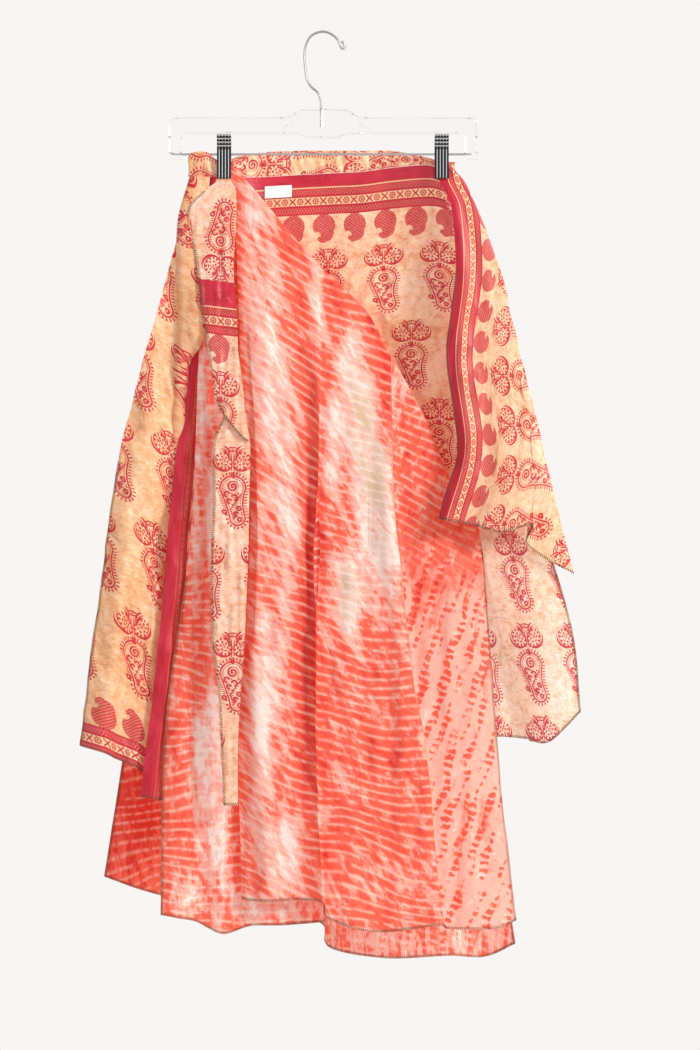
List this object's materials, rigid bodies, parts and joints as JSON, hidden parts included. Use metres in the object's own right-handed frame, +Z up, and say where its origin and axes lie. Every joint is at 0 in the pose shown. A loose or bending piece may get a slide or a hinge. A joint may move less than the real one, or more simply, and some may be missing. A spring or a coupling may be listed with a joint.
{
  "type": "wrap skirt on clip hanger",
  "caption": "Two-layer wrap skirt, long tie-dyed layer under a short paisley printed layer with a border, hung by its waistband from a clip hanger.",
  "frame": {"origin": "the point where the hook's inner top rests on a rail", "axes": "+Z up along the hanging skirt, +X to the viewer's right facing the front, +Y from front to back"},
  "size_m": [0.5713, 0.118, 1.0771],
  "materials": {
    "tie_dye_cloth": "light satin polyester, coral and blush tie-dye with pale resist lines",
    "printed_cloth": "light satin polyester, tan with crimson paisley print and woven-look border",
    "crimson_cloth": "light satin polyester, plain crimson border band",
    "label_cloth": "woven satin label, blank",
    "clear_plastic": "clear moulded plastic",
    "chrome": "bright plated steel",
    "steel_wire": "drawn steel wire"
  },
  "bodies": {
    "root": {"waistband": "printed_cloth", "coral_back": "tie_dye_cloth", "printed_back": "printed_cloth", "coral_under": "tie_dye_cloth", "coral_front": "tie_dye_cloth", "border_strip": "crimson_cloth", "left_drape": "printed_cloth", "right_drape": "printed_cloth", "right_flap": "printed_cloth", "tie": "printed_cloth", "care_label": "label_cloth", "hook": "steel_wire", "hanger_body": "clear_plastic", "rod": "chrome", "left_clip_front": "chrome", "left_clip_back": "chrome", "left_clip_spring": "steel_wire", "right_clip_front": "chrome", "right_clip_back": "chrome", "right_clip_spring": "steel_wire"}
  },
  "joints": []
}
